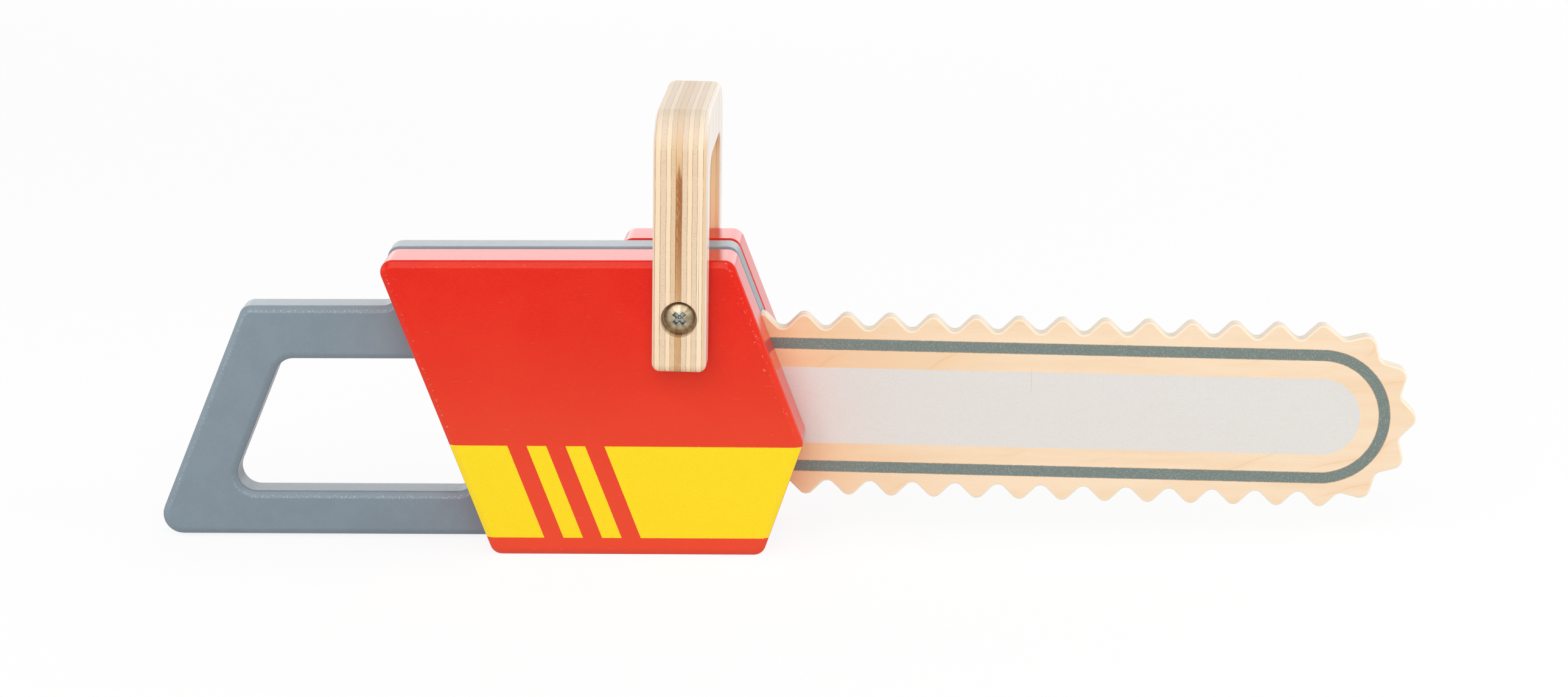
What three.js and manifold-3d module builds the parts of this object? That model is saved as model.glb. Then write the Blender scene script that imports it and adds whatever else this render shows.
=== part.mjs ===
import * as THREE from 'three';
import { mergeVertices } from 'three/addons/utils/BufferGeometryUtils.js';
import Module from 'manifold-3d';

const wasm = await Module();
wasm.setup();

// Wooden toy chainsaw, sizes in millimetres. X runs towards the blade tip, Y towards the rear board, Z up.
// Places along X are measured from the upper left corner of the body, heights from the standing face.

// Boards of the body
const frontPanelThickness = 18;
const coreThickness = 12;
const rearPanelThickness = 18;
const bodyHeight = 98.3;
const bodyTopWidth = 114.8;
const bodyLean = 20;
const noseHeight = 37.6;
const coreLift = 1;
const rearPanelTopWidth = 37.1;
const bodyCorner = 4;
const edgeRound = 2;

// Rear grip, cut in one piece with the core board
const gripLean = 23;
const gripTopHeight = 78.5;
const gripTopLeft = -46.3;
const gripBarWidth = 17.8;
const gripFootHeight = 14.8;
const gripHeelCorner = 6.5;
const gripShoulderCorner = 4;
const gripOpeningCorner = 6.2;
const gripRootFillet = 3;

// Saw blade
const bladeThickness = 6;
const bladeDroop = 1.22;
const bladeReach = 166.4;
const bladeNoseZ = 42.4;
const toothPitch = 13.9;
const toothRound = 2.7;
const bladeTipRadius = 30.2;
const upperRowShift = -0.5;
const lowerRowShift = 0.8;
const noseToothRise = 0.4;
const noseValleyRise = 1.9;
const toothRows = 13;
const noseTeeth = 6;
const tongueLength = 70;
const tongueCorner = 1.4;
const bladeEdgeRound = 0.7;
const pocketClearance = 0.3;

// Turning front handle
const handleThickness = 17.3;
const handleLean = 1.5;
const handleInset = 16.3;
const handlePivotDrop = 16.5;
const handleRise = 48.9;
const handleFootDrop = 17.5;
const handleLegDepth = 11.3;
const handleBridgeDepth = 15.8;
const handleOuterCorner = 14;
const handleInnerCorner = 8;
const handleFootCorner = 3;
const handleEdgeRound = 2.5;

// Pivot screws and their spacer washers
const screwHeadDiameter = 9.7;
const screwHeadHeight = 3.6;
const screwHeadSkirt = 1.2;
const screwHeadShoulder = 3.9;
const screwShankDiameter = 5;
const screwLength = 24;
const screwPointLength = 5;
const recessSpan = 4.8;
const recessWidth = 1.1;
const recessDepth = 2.1;
const recessTurn = 45;
const counterboreDiameter = 11.4;
const counterboreDepth = 5.2;
const spacerDiameter = 13;
const spacerThickness = 1.5;
const turningClearance = 0.1;
const screwEndGap = 0.3;

// Glued dowels
const bodyDowelDiameter = 8;
const bodyDowelBite = 10;
const bodyDowelCoreBite = 7;
const bodyDowelFootInset = 11;
const rearDowelSpread = 15;
const frontDowelInset = 15;
const bladeDowelDiameter = 6;
const bladeDowelBite = 8;
const bladeDowelCoreBite = 4;
const bladeDowelInset = 27;
const bladeDowelSpacing = 35;
const dowelClearance = 0.05;
const dowelEndGap = 0.3;

// Facets of round faces, and how far a cutter runs past the face that it opens
const cornerSteps = 3;
const toothSteps = 2;
const bowSteps = 4;
const rimSteps = 2;
const bladeRimSteps = 1;
const roundSides = 24;
const overrun = 1;

// Values worked out from the sizes above
const lean = Math.tan(THREE.MathUtils.degToRad(bodyLean));
const slope = Math.tan(THREE.MathUtils.degToRad(gripLean));
const coreFront = -coreThickness / 2;
const coreRear = coreThickness / 2;
const bodyFront = coreFront - frontPanelThickness;
const bodyRear = coreRear + rearPanelThickness;
const noseX = bodyTopWidth + (bodyHeight - noseHeight) * lean;
const bladeNoseX = noseX + bladeReach;
const rearPanelAxis = bodyTopWidth - rearPanelTopWidth / 2;
const handleX = bodyTopWidth - handleInset;
const handlePivotZ = bodyHeight - handlePivotDrop;
const handleTopZ = bodyHeight + handleRise;
const handleFootZ = handlePivotZ - handleFootDrop;
const handleHalf = bodyRear + spacerThickness + handleLegDepth;
const gripHeelX = gripTopLeft - (gripTopHeight - coreLift) * slope;
const heelSetback = gripHeelCorner / Math.tan(THREE.MathUtils.degToRad((90 - gripLean) / 2));
const leftEnd = gripHeelX + heelSetback - gripHeelCorner;
const toothSharpRise = toothRound * (Math.SQRT2 - 1);
const sharpTip = bladeTipRadius + toothSharpRise;
const sharpValley = sharpTip - toothPitch / 2;
const bladeValley = sharpValley + toothSharpRise;
const toothRun = -toothRows * toothPitch - (sharpTip - bladeValley);
const toothFoot = toothRun + Math.min(upperRowShift, lowerRowShift);
const tongueEnd = toothFoot - tongueLength;
const noseStep = Math.PI / noseTeeth;
const sharpNoseTip = sharpTip + noseToothRise;
const sharpNoseValley = sharpValley + noseValleyRise;
const noseFlank = Math.atan2(
  sharpNoseValley * Math.sin(noseStep / 2),
  sharpNoseTip - sharpNoseValley * Math.cos(noseStep / 2),
);
const noseTip = sharpNoseTip - toothRound * (1 / Math.sin(noseFlank) - 1);
const middleX = (leftEnd + bladeNoseX + noseTip) / 2;
const screwBite = screwLength - (handleLegDepth - counterboreDepth) - spacerThickness;
const pilotDiameter = screwShankDiameter + 2 * dowelClearance;
const axleDiameter = screwShankDiameter + 2 * turningClearance;
const pocketTop = onBlade(tongueEnd, bladeValley + pocketClearance)[1];
const topDowelZ = (pocketTop + bodyHeight) / 2;
const footDowelZ = bodyDowelFootInset;

// Dowel centres in X and Z
const throughDowels = [
  [rearPanelAxis - rearDowelSpread, topDowelZ],
  [rearPanelAxis - rearDowelSpread, footDowelZ],
  [rearPanelAxis + rearDowelSpread, footDowelZ],
];
const frontDowels = [topDowelZ, footDowelZ].map((z) => [bodyLeft(z) + frontDowelInset, z]);
const bladeDowels = [0, bladeDowelSpacing].map((step) => onBlade(tongueEnd + bladeDowelInset + step, 0));

// Colours
const redPaint = { color: 0xe0301f, roughness: 0.35, metalness: 0 };
const greyPaint = { color: 0x8796a0, roughness: 0.5, metalness: 0 };
const birch = { color: 0xecc99c, roughness: 0.6, metalness: 0 };
const beech = { color: 0xd9b483, roughness: 0.7, metalness: 0 };
const steel = { color: 0xa9a69c, roughness: 0.3, metalness: 1 };

// Left edge of the body at a height.
function bodyLeft(z) {
  return (bodyHeight - z) * lean;
}

// Outline through sharp corners [x, y, radius], each corner replaced by an arc, given anticlockwise.
function traceCorners(path, corners) {
  const count = corners.length;
  for (let i = 0; i < count; i += 1) {
    const here = new THREE.Vector2(corners[i][0], corners[i][1]);
    const before = corners[(i + count - 1) % count];
    const after = corners[(i + 1) % count];
    const toBefore = new THREE.Vector2(before[0], before[1]).sub(here).normalize();
    const toAfter = new THREE.Vector2(after[0], after[1]).sub(here).normalize();
    const half = Math.acos(THREE.MathUtils.clamp(toBefore.dot(toAfter), -1, 1)) / 2;
    const radius = corners[i][2];
    const middle = toBefore.clone().add(toAfter).normalize();
    const centre = here.clone().addScaledVector(middle, radius / Math.sin(half));
    const reach = radius / Math.tan(half);
    const start = here.clone().addScaledVector(toBefore, reach).sub(centre);
    const end = here.clone().addScaledVector(toAfter, reach).sub(centre);
    const clockwise = start.cross(end) < 0;
    path.absarc(centre.x, centre.y, radius, start.angle(), end.angle(), clockwise);
  }
  path.closePath();
  return path;
}

// Board with rounded rims, cut to an outline in X and Z and lying between two depths in Y.
function board(outline, front, thickness, rim, arcSteps, rimFacets) {
  const solid = new THREE.ExtrudeGeometry(outline, {
    depth: thickness - 2 * rim,
    bevelEnabled: true,
    bevelThickness: rim,
    bevelSize: rim,
    bevelOffset: -rim,
    bevelSegments: rimFacets,
    curveSegments: arcSteps,
  });
  solid.rotateX(Math.PI / 2);
  solid.translate(0, front + thickness - rim, 0);
  return solid;
}

// Rod along Y between two depths.
function rod(diameter, front, rear, x, z) {
  const solid = new THREE.CylinderGeometry(diameter / 2, diameter / 2, rear - front, roundSides);
  solid.translate(x, (front + rear) / 2, z);
  return solid;
}

function toSolid(geometry) {
  const bare = geometry.clone();
  bare.deleteAttribute('normal');
  bare.deleteAttribute('uv');
  const welded = mergeVertices(bare, 1e-4);
  const mesh = new wasm.Mesh({
    numProp: 3,
    vertProperties: new Float32Array(welded.attributes.position.array),
    triVerts: new Uint32Array(welded.index.array),
  });
  mesh.merge();
  return new wasm.Manifold(mesh);
}

function cutAway(geometry, cutters) {
  let solid = toSolid(geometry);
  for (const cutter of cutters) {
    solid = solid.subtract(toSolid(cutter));
  }
  return toGeometry(solid);
}

function toGeometry(solid) {
  const mesh = solid.getMesh();
  const geometry = new THREE.BufferGeometry();
  const points = new Float32Array(mesh.numVert * 3);
  for (let i = 0; i < mesh.numVert; i += 1) {
    for (let k = 0; k < 3; k += 1) {
      points[3 * i + k] = mesh.vertProperties[i * mesh.numProp + k];
    }
  }
  geometry.setAttribute('position', new THREE.BufferAttribute(points, 3));
  geometry.setIndex(new THREE.BufferAttribute(new Uint32Array(mesh.triVerts), 1));
  geometry.computeVertexNormals();
  return geometry;
}

// Places on the blade: along its middle line from the nose centre, and across it.
function onBlade(along, across) {
  const turn = THREE.MathUtils.degToRad(-bladeDroop);
  const x = bladeNoseX + along * Math.cos(turn) - across * Math.sin(turn);
  const z = bladeNoseZ + along * Math.sin(turn) + across * Math.cos(turn);
  return [x, z];
}

function dowelHole(diameter, front, rear, x, z) {
  return rod(diameter + 2 * dowelClearance, front, rear, x, z);
}

function pivotBore(diameter, front, rear) {
  return rod(diameter, front, rear, handleX, handlePivotZ);
}

function bodyCorners(bottom) {
  return [
    [0, bodyHeight, bodyCorner],
    [bodyLeft(bottom), bottom, bodyCorner],
    [noseX - (noseHeight - bottom) * lean, bottom, bodyCorner],
    [noseX, noseHeight, bodyCorner],
    [bodyTopWidth, bodyHeight, bodyCorner],
  ];
}

function frontPanel() {
  const outline = traceCorners(new THREE.Shape(), bodyCorners(0));
  const plate = board(outline, bodyFront, frontPanelThickness, edgeRound, cornerSteps, rimSteps);
  const cuts = [pivotBore(pilotDiameter, bodyFront - overrun, bodyFront + screwBite + screwEndGap)];
  for (const [x, z] of [...throughDowels, ...frontDowels]) {
    cuts.push(dowelHole(bodyDowelDiameter, coreFront - bodyDowelBite, coreFront + overrun, x, z));
  }
  for (const [x, z] of bladeDowels) {
    cuts.push(dowelHole(bladeDowelDiameter, coreFront - bladeDowelBite, coreFront + overrun, x, z));
  }
  return cutAway(plate, cuts);
}

// Six-sided cover: its right half follows the body, its left half mirrors it.
function rearPanel() {
  const right = bodyCorners(0).slice(2);
  const mirrored = right.map(([x, z, radius]) => [2 * rearPanelAxis - x, z, radius]).reverse();
  const outline = traceCorners(new THREE.Shape(), [...mirrored, ...right]);
  const plate = board(outline, coreRear, rearPanelThickness, edgeRound, cornerSteps, rimSteps);
  const cuts = [pivotBore(pilotDiameter, bodyRear - screwBite - screwEndGap, bodyRear + overrun)];
  for (const [x, z] of throughDowels) {
    cuts.push(dowelHole(bodyDowelDiameter, coreRear - overrun, coreRear + bodyDowelBite, x, z));
  }
  return cutAway(plate, cuts);
}

// Block lying along the blade, used to cut the pocket.
function pocketBlock(fromAlong, toAlong, halfHeight) {
  const depth = bladeThickness + overrun;
  const block = new THREE.BoxGeometry(toAlong - fromAlong, depth, 2 * halfHeight);
  block.rotateY(THREE.MathUtils.degToRad(bladeDroop));
  const [x, z] = onBlade((fromAlong + toAlong) / 2, 0);
  block.translate(x, coreFront - overrun + depth / 2, z);
  return block;
}

function coreBoard() {
  const body = bodyCorners(coreLift);
  const outline = traceCorners(new THREE.Shape(), [
    body[0],
    [bodyLeft(gripTopHeight), gripTopHeight, gripRootFillet],
    [gripTopLeft, gripTopHeight, gripShoulderCorner],
    [gripHeelX, coreLift, gripHeelCorner],
    body[2],
    body[3],
    body[4],
  ]);
  const top = gripTopHeight - gripBarWidth;
  const foot = coreLift + gripFootHeight;
  const bar = gripBarWidth / Math.cos(THREE.MathUtils.degToRad(gripLean));
  const innerLeft = (z) => gripTopLeft + bar - (gripTopHeight - z) * slope;
  outline.holes.push(traceCorners(new THREE.Path(), [
    [innerLeft(top), top, gripOpeningCorner],
    [innerLeft(foot), foot, gripOpeningCorner],
    [bodyLeft(foot), foot, gripRootFillet],
    [bodyLeft(top), top, gripRootFillet],
  ]));
  const plate = board(outline, coreFront, coreThickness, edgeRound, cornerSteps, rimSteps);
  const cuts = [
    pocketBlock(tongueEnd - pocketClearance, 0, bladeValley + pocketClearance),
    pocketBlock(toothFoot - pocketClearance, 0, bladeTipRadius + pocketClearance),
  ];
  for (const [x, z] of throughDowels) {
    cuts.push(dowelHole(bodyDowelDiameter, coreFront - overrun, coreRear + overrun, x, z));
  }
  for (const [x, z] of frontDowels) {
    cuts.push(dowelHole(bodyDowelDiameter, coreFront - overrun, coreFront + bodyDowelCoreBite, x, z));
  }
  const floor = coreFront + bladeThickness;
  for (const [x, z] of bladeDowels) {
    cuts.push(dowelHole(bladeDowelDiameter, floor - overrun, floor + bladeDowelCoreBite, x, z));
  }
  return cutAway(plate, cuts);
}

function sawBlade() {
  const corners = [];
  const place = (along, across, radius) => corners.push([...onBlade(along, across), radius]);
  place(tongueEnd, bladeValley, tongueCorner);
  place(tongueEnd, -bladeValley, tongueCorner);
  place(lowerRowShift + toothRun, -bladeValley, bladeEdgeRound);
  for (let i = toothRows; i >= 0; i -= 1) {
    place(lowerRowShift - i * toothPitch, -sharpTip, toothRound);
    if (i > 0) {
      place(lowerRowShift - (i - 0.5) * toothPitch, -sharpValley, toothRound);
    }
  }
  for (let i = 0; i < noseTeeth; i += 1) {
    const valley = -Math.PI / 2 + (i + 0.5) * noseStep;
    const tip = valley + noseStep / 2;
    place(sharpNoseValley * Math.cos(valley), sharpNoseValley * Math.sin(valley), toothRound);
    if (i < noseTeeth - 1) {
      place(sharpNoseTip * Math.cos(tip), sharpNoseTip * Math.sin(tip), toothRound);
    }
  }
  for (let i = 0; i <= toothRows; i += 1) {
    if (i > 0) {
      place(upperRowShift - (i - 0.5) * toothPitch, sharpValley, toothRound);
    }
    place(upperRowShift - i * toothPitch, sharpTip, toothRound);
  }
  place(upperRowShift + toothRun, bladeValley, bladeEdgeRound);
  const outline = traceCorners(new THREE.Shape(), corners);
  const plate = board(outline, coreFront, bladeThickness, bladeEdgeRound, toothSteps, bladeRimSteps);
  const rear = coreFront + bladeThickness;
  return cutAway(plate, bladeDowels.map(([x, z]) => (
    dowelHole(bladeDowelDiameter, coreFront - overrun, rear + overrun, x, z)
  )));
}

// Flat outline in Y and Z given its thickness along X, leaning about the pivot.
function leaningBoard(outline, thickness, rim) {
  const solid = new THREE.ExtrudeGeometry(outline, {
    depth: thickness - 2 * rim,
    bevelEnabled: rim > 0,
    bevelThickness: rim,
    bevelSize: rim,
    bevelOffset: -rim,
    bevelSegments: rimSteps,
    curveSegments: bowSteps,
  });
  const turn = new THREE.Matrix4().makeBasis(
    new THREE.Vector3(0, 1, 0),
    new THREE.Vector3(0, 0, 1),
    new THREE.Vector3(1, 0, 0),
  );
  solid.applyMatrix4(turn);
  solid.translate(rim - thickness / 2, 0, -handlePivotZ);
  solid.rotateY(THREE.MathUtils.degToRad(handleLean));
  solid.translate(handleX, 0, handlePivotZ);
  return solid;
}

// Plate with rounded outer edges; its opening is cut through it with plain edges.
function frontHandle() {
  const outer = handleHalf;
  const inner = handleHalf - handleLegDepth;
  const underside = handleTopZ - handleBridgeDepth;
  const open = handleFootZ - 2 * handleFootCorner;
  const outline = traceCorners(new THREE.Shape(), [
    [-outer, handleTopZ, handleOuterCorner],
    [-outer, handleFootZ, handleFootCorner],
    [outer, handleFootZ, handleFootCorner],
    [outer, handleTopZ, handleOuterCorner],
  ]);
  const opening = traceCorners(new THREE.Shape(), [
    [-inner, underside, handleInnerCorner],
    [-inner, open, handleFootCorner],
    [inner, open, handleFootCorner],
    [inner, underside, handleInnerCorner],
  ]);
  return cutAway(leaningBoard(outline, handleThickness, handleEdgeRound), [
    leaningBoard(opening, handleThickness + 2 * overrun, 0),
    pivotBore(axleDiameter, -outer - overrun, -inner + overrun),
    pivotBore(counterboreDiameter, -outer - overrun, -outer + counterboreDepth),
    pivotBore(axleDiameter, inner - overrun, outer + overrun),
    pivotBore(counterboreDiameter, outer - counterboreDepth, outer + overrun),
  ]);
}

// Domed cross-head screw lying along Y, head on the outer side of the leg.
function pivotScrew(side) {
  const head = screwHeadDiameter / 2;
  const shank = screwShankDiameter / 2;
  const profile = new THREE.Path();
  profile.moveTo(0, -screwLength);
  profile.lineTo(shank, -screwLength + screwPointLength);
  profile.lineTo(shank, 0);
  profile.lineTo(head, 0);
  profile.lineTo(head, screwHeadSkirt);
  profile.quadraticCurveTo(screwHeadShoulder, screwHeadHeight, 0, screwHeadHeight);
  const body = new THREE.LatheGeometry(profile.getPoints(bowSteps), roundSides);
  const screw = cutAway(body, [recessTurn, recessTurn + 90].map((turn) => {
    const slot = new THREE.BoxGeometry(recessSpan, recessDepth * 2, recessWidth);
    slot.rotateY(THREE.MathUtils.degToRad(turn));
    slot.translate(0, screwHeadHeight, 0);
    return slot;
  }));
  if (side > 0) {
    screw.translate(0, handleHalf - counterboreDepth, 0);
  } else {
    screw.rotateX(Math.PI);
    screw.translate(0, -handleHalf + counterboreDepth, 0);
  }
  screw.translate(handleX, 0, handlePivotZ);
  return screw;
}

function spacerWasher(side) {
  const front = side > 0 ? bodyRear : bodyFront - spacerThickness;
  const rear = front + spacerThickness;
  const disc = rod(spacerDiameter, front, rear, handleX, handlePivotZ);
  return cutAway(disc, [pivotBore(axleDiameter, front - overrun, rear + overrun)]);
}

function dowel(diameter, front, rear, x, z) {
  return toGeometry(toSolid(rod(diameter, front, rear, x, z)));
}

const group = new THREE.Group();
group.name = 'toy_chainsaw';

function add(name, geometry, finish) {
  const mesh = new THREE.Mesh(geometry, new THREE.MeshStandardMaterial(finish));
  mesh.name = name;
  geometry.translate(-middleX, 0, 0);
  group.add(mesh);
}

add('front_panel', frontPanel(), redPaint);
add('core_board', coreBoard(), greyPaint);
add('rear_panel', rearPanel(), redPaint);
add('saw_blade', sawBlade(), birch);
add('front_handle', frontHandle(), birch);
add('front_pivot_screw', pivotScrew(-1), steel);
add('rear_pivot_screw', pivotScrew(1), steel);
add('front_spacer_washer', spacerWasher(-1), steel);
add('rear_spacer_washer', spacerWasher(1), steel);
throughDowels.forEach(([x, z], i) => {
  const reach = bodyDowelBite - dowelEndGap;
  add(`body_dowel_${i + 1}`, dowel(bodyDowelDiameter, coreFront - reach, coreRear + reach, x, z), beech);
});
frontDowels.forEach(([x, z], i) => {
  const front = coreFront - bodyDowelBite + dowelEndGap;
  const rear = coreFront + bodyDowelCoreBite - dowelEndGap;
  add(`front_dowel_${i + 1}`, dowel(bodyDowelDiameter, front, rear, x, z), beech);
});
bladeDowels.forEach(([x, z], i) => {
  const front = coreFront - bladeDowelBite + dowelEndGap;
  const rear = coreFront + bladeThickness + bladeDowelCoreBite - dowelEndGap;
  add(`blade_dowel_${i + 1}`, dowel(bladeDowelDiameter, front, rear, x, z), beech);
});

export default group;
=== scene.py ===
import math
import bpy
import bmesh
from mathutils import Matrix, Vector


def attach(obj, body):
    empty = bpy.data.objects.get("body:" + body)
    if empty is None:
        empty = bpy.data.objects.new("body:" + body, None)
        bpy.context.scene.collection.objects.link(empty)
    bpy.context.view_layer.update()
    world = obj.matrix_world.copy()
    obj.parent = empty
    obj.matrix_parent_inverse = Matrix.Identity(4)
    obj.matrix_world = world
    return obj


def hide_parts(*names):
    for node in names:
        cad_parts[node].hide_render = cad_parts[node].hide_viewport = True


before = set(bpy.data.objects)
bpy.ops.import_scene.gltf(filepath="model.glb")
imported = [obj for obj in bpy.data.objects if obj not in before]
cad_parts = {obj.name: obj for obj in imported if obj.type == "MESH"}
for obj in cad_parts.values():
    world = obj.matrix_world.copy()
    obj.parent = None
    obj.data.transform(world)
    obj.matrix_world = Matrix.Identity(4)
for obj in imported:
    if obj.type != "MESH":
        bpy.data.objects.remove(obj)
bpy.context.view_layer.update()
print("frame loaded:", len(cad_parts), "nodes")

# sizes of the pieces are in mm and degrees, and their x starts at the body's upper left corner
mm = 0.001
leftCorner = -129.071
roundSides = 64
cutPast = 1.0  # how far a cutter stands out of what it cuts
samePlace = 0.01  # corners nearer than this are one
facesAlong = 0.9  # a face looks along an axis when its normal has this much of it
smoothAngle = 38


def fromBody(x):
    return x + leftCorner


def slopeOf(lean):
    return math.tan(math.radians(lean))


# Helpers for modelling

def clearSelection():
    if bpy.context.mode != "OBJECT":
        bpy.ops.object.mode_set(mode="OBJECT")
    bpy.ops.object.select_all(action="DESELECT")


def pickOnly(piece):
    clearSelection()
    piece.select_set(True)
    bpy.context.view_layer.objects.active = piece


def editFaces(piece):
    pickOnly(piece)
    bpy.ops.object.mode_set(mode="EDIT")
    bpy.ops.mesh.select_mode(type="FACE")


def turnFacesOut():
    bpy.ops.mesh.select_all(action="SELECT")
    bpy.ops.mesh.normals_make_consistent(inside=False)


def applyPlace():
    bpy.ops.object.transform_apply(location=True, rotation=True, scale=True)


def spot(lay, u, v, w):
    # "front" boards have their outline in X and Z, "side" ones in Y and Z
    return Vector((u, w, v)) * mm if lay == "front" else Vector((w, u, v)) * mm


def selectWhere(piece, kind, test):
    mesh = bmesh.from_edit_mesh(piece.data)
    bpy.ops.mesh.select_all(action="DESELECT")
    chosen = {"VERT": mesh.verts, "FACE": mesh.faces}[kind]
    for item in chosen:
        if test(item):
            item.select_set(True)
    mesh.select_flush_mode()
    bmesh.update_edit_mesh(piece.data)


def setOnArc(piece, middle, radius):
    mesh = bmesh.from_edit_mesh(piece.data)
    for vertex in mesh.verts:
        if vertex.select:
            vertex.co = middle + (vertex.co - middle).normalized() * radius
    bmesh.update_edit_mesh(piece.data)


def cutBoard(name, corners, lay, depthFrom, depthTo, steps):
    # corners are (u, v, radius): a flat face through the sharp corners, rounded, then pushed to its thickness
    clearSelection()
    count = len(corners)
    bpy.ops.mesh.primitive_circle_add(vertices=count, radius=0.1, fill_type="NGON")
    piece = bpy.context.object
    piece.name = name
    piece.data.name = name
    places = [spot(lay, u, v, depthFrom) for u, v, radius in corners]
    for vertex, place in zip(piece.data.vertices, places):
        vertex.co = place
    bpy.ops.object.mode_set(mode="EDIT")
    bpy.ops.mesh.select_mode(type="VERT")
    for i, (u, v, radius) in enumerate(corners):
        here = Vector((u, v))
        before = (Vector(corners[i - 1][:2]) - here).normalized()
        after = (Vector(corners[(i + 1) % count][:2]) - here).normalized()
        half = math.acos(max(-1, min(1, before.dot(after)))) / 2
        selectWhere(piece, "VERT", lambda item: (item.co - places[i]).length < samePlace * mm)
        bpy.ops.mesh.bevel(
            offset=radius / math.tan(half) * mm, offset_type="OFFSET", segments=steps,
            profile=0.5, affect="VERTICES", clamp_overlap=False)
        middle = here + (before + after).normalized() * radius / math.sin(half)
        setOnArc(piece, spot(lay, *middle, depthFrom), radius * mm)
    bpy.ops.mesh.select_all(action="SELECT")
    push = spot(lay, 0, 0, depthTo - depthFrom)
    bpy.ops.mesh.extrude_region_move(TRANSFORM_OT_translate={"value": push})
    turnFacesOut()
    bpy.ops.object.mode_set(mode="OBJECT")
    return piece


def roundRims(piece, width, steps, angle):
    pickOnly(piece)
    rim = piece.modifiers.new("rims", "BEVEL")
    rim.width = width * mm
    rim.segments = steps
    rim.limit_method = "ANGLE"
    rim.angle_limit = math.radians(angle)
    rim.use_clamp_overlap = False
    bpy.ops.object.modifier_apply(modifier=rim.name)


def cutOut(piece, cutter):
    pickOnly(piece)
    cut = piece.modifiers.new("cut", "BOOLEAN")
    cut.operation = "DIFFERENCE"
    cut.solver = "EXACT"
    cut.object = cutter
    bpy.ops.object.modifier_apply(modifier=cut.name)
    bpy.data.objects.remove(cutter, do_unlink=True)


def rodAlongY(name, diameter, front, rear, x, z):
    clearSelection()
    bpy.ops.mesh.primitive_cylinder_add(
        vertices=roundSides, radius=diameter / 2 * mm, depth=(rear - front) * mm,
        location=Vector((x, (front + rear) / 2, z)) * mm, rotation=(math.pi / 2, 0, 0))
    rod = bpy.context.object
    rod.name = name
    return rod


def finishPiece(piece, body, slot, material, *nodes):
    pickOnly(piece)
    applyPlace()
    bpy.ops.object.shade_smooth_by_angle(angle=math.radians(smoothAngle))
    even = piece.modifiers.new("even", "WEIGHTED_NORMAL")
    even.keep_sharp = True
    bpy.ops.object.modifier_apply(modifier=even.name)
    piece.data.materials.clear()
    piece.data.materials.append(material)
    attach(piece, body)
    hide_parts(*nodes)
    print("piece done:", piece.name, len(piece.data.polygons), "faces")


# Helpers for materials

def startMaterial(name, **constants):
    material = bpy.data.materials.new(name)
    material.use_nodes = True
    tree = material.node_tree
    shader = tree.nodes["Principled BSDF"]
    for key, value in constants.items():
        shader.inputs[key.replace("_", " ")].default_value = value
    return material, tree, shader


def addNode(tree, kind, **settings):
    node = tree.nodes.new(kind)
    for key, value in settings.items():
        setattr(node, key, value)
    return node


def feed(tree, socket, source):
    if isinstance(source, bpy.types.NodeSocket):
        tree.links.new(source, socket)
    else:
        socket.default_value = source


def feedShader(tree, shader, colour, roughness, normal):
    for key, source in (("Base Color", colour), ("Roughness", roughness), ("Normal", normal)):
        feed(tree, shader.inputs[key], source)


def calc(tree, operation, *terms):
    node = addNode(tree, "ShaderNodeMath", operation=operation)
    for socket, term in zip(node.inputs, terms):
        feed(tree, socket, term)
    return node.outputs[0]


def product(tree, first, *others):
    for other in others:
        first = calc(tree, "MULTIPLY", first, other)
    return first


def strongest(tree, first, *others):
    for other in others:
        first = calc(tree, "MAXIMUM", first, other)
    return first


def around(tree, value, middle, spread):
    # a value from 0 to 1 becomes one around a middle
    return calc(tree, "MULTIPLY_ADD", value, spread, middle - spread / 2)


def smooth(tree, value, low, high, start=0.0, end=1.0):
    node = addNode(tree, "ShaderNodeMapRange", interpolation_type="SMOOTHSTEP")
    for socket, term in zip(node.inputs, (value, low, high, start, end)):
        feed(tree, socket, term)
    return node.outputs[0]


def rises(tree, value, level, soft):
    return smooth(tree, value, level - soft / 2, level + soft / 2)


def falls(tree, value, level, soft):
    return smooth(tree, value, level - soft / 2, level + soft / 2, 1.0, 0.0)


def between(tree, value, low, high, soft):
    return product(tree, rises(tree, value, low, soft), falls(tree, value, high, soft))


def mixColour(tree, factor, first, second):
    node = addNode(tree, "ShaderNodeMix", data_type="RGBA")
    feed(tree, node.inputs[0], factor)
    feed(tree, node.inputs[6], first)
    feed(tree, node.inputs[7], second)
    return node.outputs[2]


def stretch(tree, vector, amounts):
    node = addNode(tree, "ShaderNodeVectorMath", operation="MULTIPLY")
    feed(tree, node.inputs[0], vector)
    node.inputs[1].default_value = amounts
    return node.outputs[0]


def noise(
        tree, vector, scale=1.0, detail=3.0, roughness=0.5, distortion=0.0,
        along=None, levels=None, amounts=(0.0, 1.0)):
    # along stretches the pattern; between its levels it goes from one amount to the other
    if along:
        vector = stretch(tree, vector, along)
    node = addNode(tree, "ShaderNodeTexNoise")
    feed(tree, node.inputs["Vector"], vector)
    settings = {"Scale": scale, "Detail": detail, "Roughness": roughness, "Distortion": distortion}
    for key, value in settings.items():
        node.inputs[key].default_value = value
    if levels:
        return smooth(tree, node.outputs["Fac"], *levels, *amounts)
    return node.outputs["Fac"]


def ramp(tree, factor, stops):
    # plain steps from colour to colour
    node = addNode(tree, "ShaderNodeValToRGB")
    node.color_ramp.interpolation = "CONSTANT"
    marks = node.color_ramp.elements
    while len(marks) < len(stops):
        marks.new(0.5)
    for mark, (position, colour) in zip(marks, stops):
        mark.position = position
    for mark, (position, colour) in zip(marks, stops):
        mark.color = colour
    feed(tree, node.inputs[0], factor)
    return node.outputs["Color"]


def bump(tree, height, strength, distance, under=None):
    node = addNode(tree, "ShaderNodeBump")
    node.inputs["Strength"].default_value = strength
    node.inputs["Distance"].default_value = distance * mm
    feed(tree, node.inputs["Height"], height)
    if under is not None:
        feed(tree, node.inputs["Normal"], under)
    return node.outputs[0]


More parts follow.
